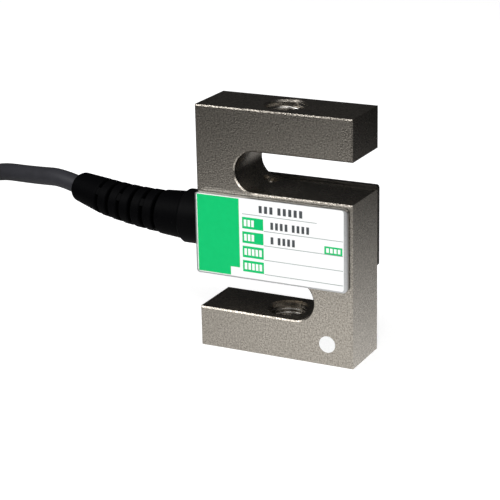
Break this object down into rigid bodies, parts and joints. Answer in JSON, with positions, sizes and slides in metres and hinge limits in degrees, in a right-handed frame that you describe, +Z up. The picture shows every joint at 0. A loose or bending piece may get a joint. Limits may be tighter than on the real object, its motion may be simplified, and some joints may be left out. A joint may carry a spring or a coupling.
{
  "type": "s type load cell",
  "caption": "S-shaped steel force cell with a threaded hole in each beam, labelled cover plates, and a side gland with ribbed strain relief and shielded cable in a tied hank.",
  "frame": {"origin": "on the load axis at the spring body's lower face", "axes": "+Z up along the load axis; the labelled front cover faces -Y; the cable leaves towards -X"},
  "size_m": [0.3044, 0.0671, 0.0762],
  "materials": {
    "body_steel": "satin",
    "cover_metal": "satin",
    "screw_steel": "satin",
    "seal_rubber": "matte",
    "label_film": "satin",
    "label_green": "satin",
    "label_grey": "satin",
    "label_dark": "satin",
    "gauge_film": "satin",
    "board_green": "satin",
    "part_black": "matte",
    "core_red": "satin",
    "core_black": "satin",
    "core_green": "satin",
    "core_white": "satin",
    "wire_enamel": "gloss",
    "tinned_copper": "satin",
    "gland_black": "satin",
    "boot_rubber": "satin",
    "cable_jacket": "satin",
    "sleeve_black": "satin"
  },
  "bodies": {
    "root": {"spring_body": "body_steel", "front_cover_seal": "seal_rubber", "front_cover": "cover_metal", "rear_cover_seal": "seal_rubber", "rear_cover": "cover_metal", "rating_label": "label_film", "label_green_fields": "label_green", "label_rules": "label_grey", "label_entry_marks": "label_dark", "label_tag_bars": "label_film", "round_sticker": "label_film", "vent_screw": "screw_steel", "strain_gauge_upper_left": "gauge_film", "strain_gauge_upper_right": "gauge_film", "strain_gauge_lower_left": "gauge_film", "strain_gauge_lower_right": "gauge_film", "terminal_board": "board_green", "bridge_resistors": "part_black", "inner_core_red": "core_red", "inner_core_black": "core_black", "inner_core_green": "core_green", "inner_core_white": "core_white", "gauge_wires": "wire_enamel", "gland_washer": "seal_rubber", "gland_body": "gland_black", "cable_grommet": "seal_rubber", "strain_relief_boot": "boot_rubber", "cable_inner": "cable_jacket", "cable_lead": "cable_jacket", "cable_hank": "cable_jacket", "cable_tail": "cable_jacket", "cable_tie": "part_black", "cable_end_sleeve": "sleeve_black", "lead_red": "core_red", "lead_black": "core_black", "lead_green": "core_green", "lead_white": "core_white", "drain_wire": "tinned_copper", "lead_tips": "tinned_copper"}
  },
  "joints": []
}
